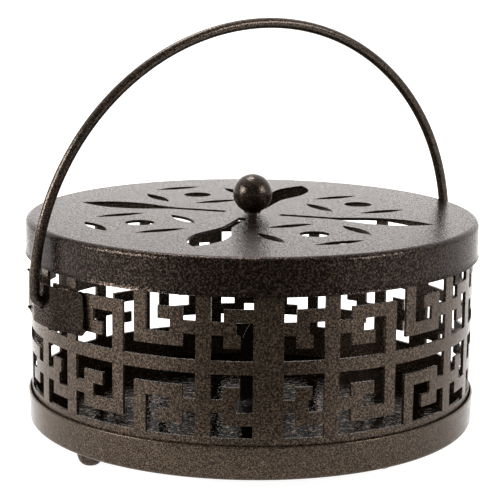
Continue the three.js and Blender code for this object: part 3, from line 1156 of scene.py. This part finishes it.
@dataclass
class Lid:
    """The pressed cap, pierced with stemmed leaves, roundels and the slits round them."""

    wall: float = 0.9 * MM
    corner: float = 1.8 * MM
    flare: float = 0.35 * MM
    flare_height: float = 1.6 * MM
    flare_knee: tuple[float, float] = (0.3, 0.5)
    rim: float = 0.22 * MM
    leaf_count: int = 4
    leaf_turn: float = 73.0
    leaf_tip: float = 61.0 * MM
    leaf_neck: float = 27.0 * MM
    leaf_belly: float = 46.0 * MM
    leaf_half: float = 5.9 * MM
    leaf_steps: int = 14
    stem_start: float = 9.5 * MM
    stem_half: float = 1.6 * MM
    shoulder_share: float = 0.333
    roundel_circle: float = 41.0 * MM
    roundel_turn: float = 28.3
    roundel_radius: float = 4.7 * MM
    slit_offset: float = 15.4 * MM
    slit_half: float = 8.8 * MM
    slit_width: float = 4.4 * MM
    slit_steps: int = 20
    slits: int = 4
    screw_hole: float = 1.9 * MM

    def leaf(self) -> Outline:
        """Draw a stemmed leaf along X.

        Returns:
            Its closed outline.
        """
        shoulder = self.stem_half + self.leaf_half * self.shoulder_share
        near = (self.leaf_neck + self.leaf_belly) / 2
        far = (self.leaf_belly + self.leaf_tip) / 2
        neck, belly = (self.leaf_neck, self.stem_half), (self.leaf_belly, self.leaf_half)
        upper = [
            (self.stem_start, self.stem_half),
            *bezier((neck, (near, shoulder), (near, self.leaf_half), belly), self.leaf_steps),
            *bezier((belly, (far, self.leaf_half), (self.leaf_tip, 0.0)), self.leaf_steps),
        ]
        lower = [(x, -y) for x, y in upper]
        return lower + [(self.leaf_tip, 0.0)] + upper[::-1]

    def slit(self) -> Outline:
        """Draw a slit with pointed ends along X.

        Returns:
            Its closed outline.
        """
        left, right = (-self.slit_half, 0.0), (self.slit_half, 0.0)
        lower = bezier((left, (0.0, -self.slit_width), right), self.slit_steps)
        return lower + bezier((right, (0.0, self.slit_width), left), self.slit_steps)

    def holes(self) -> list[Outline]:
        """Draw every hole of the lid, the screw's among them.

        Returns:
            Their closed outlines.
        """
        holes = [circle((0.0, 0.0), self.screw_hole, 24)]
        for index in range(self.leaf_count):
            quarter = index * 360 / self.leaf_count
            holes.append(turned_outline(self.leaf(), self.leaf_turn + quarter))
            ring = [circle((0.0, 0.0), self.roundel_radius, 48)]
            for place in range(self.slits):
                # The outer slit of the first roundel was never cut
                if index == 0 and place == 0:
                    continue
                upright = shifted_outline(turned_outline(self.slit(), 90), self.slit_offset)
                ring.append(turned_outline(upright, place * 360 / self.slits))
            holes += [
                turned_outline(shifted_outline(hole, self.roundel_circle), self.roundel_turn + quarter)
                for hole in ring
            ]
        return holes

    def shape(self) -> bmesh.types.BMesh:
        """Shape the cap: a pierced disc whose edge is drawn down into the skirt, then thickened inwards.

        Returns:
            The cap.
        """
        low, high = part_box("lid")
        radius = high.x - self.flare
        flat = radius - self.corner
        cap = blank([circle((0.0, 0.0), flat, RING_STEPS), *self.holes()])
        bmesh.ops.translate(cap, verts=cap.verts[:], vec=(0, 0, high.z))
        past_holes = (flat + self.leaf_tip) / 2
        borders = [line for line in cap.edges if line.is_boundary]
        edge = [line for line in borders if min(vert.co.xy.length for vert in line.verts) > past_holes]
        knee_reach, knee_height = self.flare_knee
        profile = arc((flat, high.z - self.corner), self.corner, 90, 0, 8)[1:]
        profile += [
            (radius, (high.z + low.z) / 2),
            (radius, low.z + self.flare_height),
            (radius + self.flare * knee_reach, low.z + self.flare_height * knee_height),
            (radius + self.flare, low.z),
        ]
        reach, height = flat, high.z
        for next_reach, next_height in profile:
            points, edge, _ = draw_out(cap, edge)
            share = next_reach / reach
            bmesh.ops.scale(cap, verts=points, vec=(share, share, 1))
            bmesh.ops.translate(cap, verts=points, vec=(0, 0, next_height - height))
            reach, height = next_reach, next_height
        bmesh.ops.recalc_face_normals(cap, faces=cap.faces[:])
        top = max(cap.faces, key=lambda face: face.calc_area())
        if top.normal.z < 0:
            bmesh.ops.reverse_faces(cap, faces=cap.faces[:])
        press(cap, self.wall, self.rim)
        return cap

    def build(self, material: bpy.types.Material) -> None:
        """Make and dress the lid."""
        dress(self.shape(), "lid_pressing", Body.LID, material, ["lid"])


@dataclass
class Knob:
    """The ball on the lid, and the screw and washer that hold it from below."""

    seat_radius: float = 2.8 * MM
    bore: float = 1.8 * MM
    bore_end: float = 0.65 * MM
    screw_radius: float = 1.5 * MM
    screw_point: float = 0.45 * MM
    edge: float = 0.12 * MM

    def ball(self) -> bmesh.types.BMesh:
        """Shape the ball on its small ground seat, bored from below to just under its middle.

        Returns:
            The ball.
        """
        low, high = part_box("knob")
        radius = high.x
        centre_z = high.z - radius
        start = -math.degrees(math.acos(self.seat_radius / radius))
        bore_top = centre_z - self.bore_end
        profile = [
            (0.0, bore_top),
            (self.bore, bore_top),
            (self.bore, low.z),
            (self.seat_radius, low.z),
            *arc((0.0, centre_z), radius, start, 90, 40),
        ]
        return spun(profile, steps=96)

    def washer(self) -> bmesh.types.BMesh:
        """Shape the plain washer.

        Returns:
            The washer.
        """
        low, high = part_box("knob_washer")
        edge = self.edge
        profile = [
            (self.bore, low.z),
            (high.x - edge, low.z),
            (high.x, low.z + edge),
            (high.x, high.z - edge),
            (high.x - edge, high.z),
            (self.bore, high.z),
        ]
        return spun(profile, closed=True, steps=64)

    def screw(self) -> bmesh.types.BMesh:
        """Shape the pan-head screw, with a plain shank.

        Returns:
            The screw.
        """
        low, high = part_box("knob_screw")
        head_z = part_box("knob_washer")[0].z
        head = high.x
        dome = [(head * x, head_z - (head_z - low.z) * y) for x, y in arc((0, 0), 1, 0, 90, 10)]
        profile = [
            *reversed(dome),
            (self.screw_radius, head_z),
            (self.screw_radius, high.z - self.screw_point),
            (self.screw_radius - self.screw_point, high.z),
            (0.0, high.z),
        ]
        return spun(profile, steps=48)

    def build(self, coat: bpy.types.Material, steel: bpy.types.Material) -> None:
        """Make and dress the knob, its washer and its screw.

        Args:
            coat: The knob's finish.
            steel: The finish of the washer and the screw.
        """
        dress(self.ball(), "knob_ball", Body.LID, coat, ["knob"])
        dress(self.washer(), "knob_flat_washer", Body.LID, steel, ["knob_washer"])
        dress(self.screw(), "knob_pan_screw", Body.LID, steel, ["knob_screw"])


@dataclass(frozen=True)
class SoftBox:
    """One square soft box."""

    name: str
    place: tuple[float, float, float]
    size: float
    watts: float

    def hang(self, target: Vector) -> None:
        """Hang the soft box in its place.

        Args:
            target: The point that it faces.
        """
        data = bpy.data.lights.new(self.name, "AREA")
        data.shape = "SQUARE"
        data.size = self.size
        data.energy = self.watts
        lamp = bpy.data.objects.new(self.name, data)
        lamp.location = self.place
        lamp.rotation_euler = (target - Vector(self.place)).to_track_quat("-Z", "Y").to_euler()
        bpy.context.scene.collection.objects.link(lamp)


@dataclass
class Studio:
    """A white floor, a bright room, three soft boxes, a dark card and the photograph's camera."""

    target: Vector = field(default_factory=lambda: Vector((0.0, 0.0, 60.02 * MM)))
    distance: float = 581.2 * MM
    elevation: float = math.radians(11.257)
    roll: float = math.radians(0.64)
    focal_mm: float = 125.644
    sensor_mm: float = 36.0
    shift_x: float = -0.00412
    clip: tuple[float, float] = (0.02, 60.0)
    floor_radius: float = 9.0
    floor_glow: float = 0.95
    card_place: Vector = field(default_factory=lambda: Vector((0.004, -0.115, 0.002)))
    card_near_half: float = 0.07
    card_far_half: float = 0.26
    card_length: float = 0.24
    card_lean: float = math.radians(33)
    card_glow: float = 0.22
    card_core: float = 0.3
    bright_side: tuple[float, float, float] = (0.0, 0.95, 0.31)
    dim_to: float = -0.35
    bright_from: float = 0.9
    dim: float = 0.12
    bright: float = 2.15
    soft_boxes: tuple[SoftBox, ...] = (
        SoftBox("left_soft_box", (-1.05, -0.45, 0.5), 0.6, 26.0),
        SoftBox("right_soft_box", (1.05, -0.45, 0.6), 0.5, 12.0),
        SoftBox("top_soft_box", (-0.2, 0.5, 1.5), 0.6, 18.0),
    )

    def camera(self) -> None:
        """Place the camera."""
        data = bpy.data.cameras.new("view")
        data.lens = self.focal_mm
        data.sensor_width = self.sensor_mm
        data.shift_x = self.shift_x
        data.clip_start, data.clip_end = self.clip
        data.dof.use_dof = False
        viewer = bpy.data.objects.new("view", data)
        back = Vector((0.0, -math.cos(self.elevation), math.sin(self.elevation)))
        aim = (-back).to_track_quat("-Z", "Y").to_matrix().to_4x4()
        viewer.matrix_world = (
            Matrix.Translation(self.target + back * self.distance) @ aim @ Matrix.Rotation(self.roll, 4, "Z")
        )
        bpy.context.scene.collection.objects.link(viewer)
        bpy.context.scene.camera = viewer

    def floor(self) -> None:
        """Lay the floor: pale paper that glows, so that it is plain white to the camera."""
        disc = bmesh.new()
        bmesh.ops.create_circle(disc, cap_ends=True, segments=96, radius=self.floor_radius)
        paper, tree, shader = start_material("pale_paper")
        surface = {
            "Base Color": linear("#a0a0a0"),
            "Roughness": 0.9,
            "Emission Color": linear("#ffffff"),
            "Emission Strength": self.floor_glow,
        }
        set_inputs(tree, shader, surface)
        floor = to_object(disc, "pale_floor", paper)

    def card(self) -> None:
        """Lean a dark card before the burner, for the burner to mirror. The camera doesn't see it.

        Its sides fade to the floor's glow, so its mirror image has no hard edge.
        """
        near, far, length = self.card_near_half, self.card_far_half, self.card_length
        sheet = bmesh.new()
        corners = [(-near, 0, 0), (near, 0, 0), (far, length, 0), (-far, length, 0)]
        sheet.faces.new([sheet.verts.new(corner) for corner in corners])
        felt, tree, shader = start_material("grey_felt")
        place = add_node(tree, "ShaderNodeTexCoord").outputs["Object"]
        parts = add_node(tree, "ShaderNodeSeparateXYZ", {"Vector": place})
        half = add_node(
            tree,
            "ShaderNodeMapRange",
            {"Value": parts.outputs["Y"], "From Max": length, "To Min": near, "To Max": far},
        )
        across = add_node(
            tree, "ShaderNodeMath", {0: parts.outputs["X"], 1: half.outputs["Result"]}, operation="DIVIDE"
        )
        away = add_node(tree, "ShaderNodeMath", {0: across.outputs["Value"]}, operation="ABSOLUTE")
        fade = {
            "Value": away.outputs["Value"],
            "From Min": self.card_core,
            "To Min": self.card_glow,
            "To Max": self.floor_glow,
        }
        glow = add_node(tree, "ShaderNodeMapRange", fade, interpolation_type="SMOOTHSTEP")
        surface = {
            "Base Color": linear("#101010"),
            "Roughness": 1.0,
            "Emission Color": linear("#ffffff"),
            "Emission Strength": glow.outputs["Result"],
        }
        set_inputs(tree, shader, surface)
        shade = to_object(sheet, "dark_card", felt)
        shade.matrix_world = (
            Matrix.Translation(self.card_place)
            @ Matrix.Rotation(math.pi, 4, "Z")
            @ Matrix.Rotation(self.card_lean, 4, "X")
        )
        shade.visible_camera = False

    def room(self) -> None:
        """Light the room: white high up behind the burner, and dim behind the viewer."""
        world = bpy.data.worlds.new("room")
        world.use_nodes = True
        bpy.context.scene.world = world
        tree = world.node_tree
        direction = add_node(tree, "ShaderNodeTexCoord").outputs["Generated"]
        facing = add_node(
            tree, "ShaderNodeVectorMath", {0: direction, 1: self.bright_side}, operation="DOT_PRODUCT"
        )
        ramp = {
            "Value": facing.outputs["Value"],
            "From Min": self.dim_to,
            "From Max": self.bright_from,
            "To Min": self.dim,
            "To Max": self.bright,
        }
        strength = add_node(tree, "ShaderNodeMapRange", ramp)
        light = {"Color": linear("#ffffff"), "Strength": strength.outputs["Result"]}
        set_inputs(tree, tree.nodes["Background"], light)

    def build(self) -> None:
        """Set up the camera, the floor, the card and the lights."""
        bpy.context.scene.view_settings.view_transform = "Standard"
        self.camera()
        self.floor()
        self.card()
        self.room()
        for soft_box in self.soft_boxes:
            soft_box.hang(self.target)


def main() -> None:
    """Build the burner in its frame."""
    logging.basicConfig(level=logging.INFO, format="%(name)s: %(message)s")
    joint = next(row for row in frame["joints"] if row["name"] == "handle_swing")
    pivot, axis = Vector(joint["pos_m"]), Vector(joint["axis"]).normalized()
    Studio().build()
    pan_coat, bracket_coat = PAN_COAT.build(), BRACKET_COAT.build()
    Feet().build(pan_coat)
    Pan().build(pan_coat, INSIDE_COAT.build())
    FretBand().build(BAND_COAT.build())
    CoilStand().build(STAND_COAT.build(), RIVET_STEEL.build())
    for side in Side:
        Bracket(side, pivot, axis).build(bracket_coat)
    Handle(pivot, axis).build(WIRE_COAT.build())
    Lid().build(LID_COAT.build())
    Knob().build(KNOB_COAT.build(), PLATED_STEEL.build())


if __name__ == "__main__":
    main()
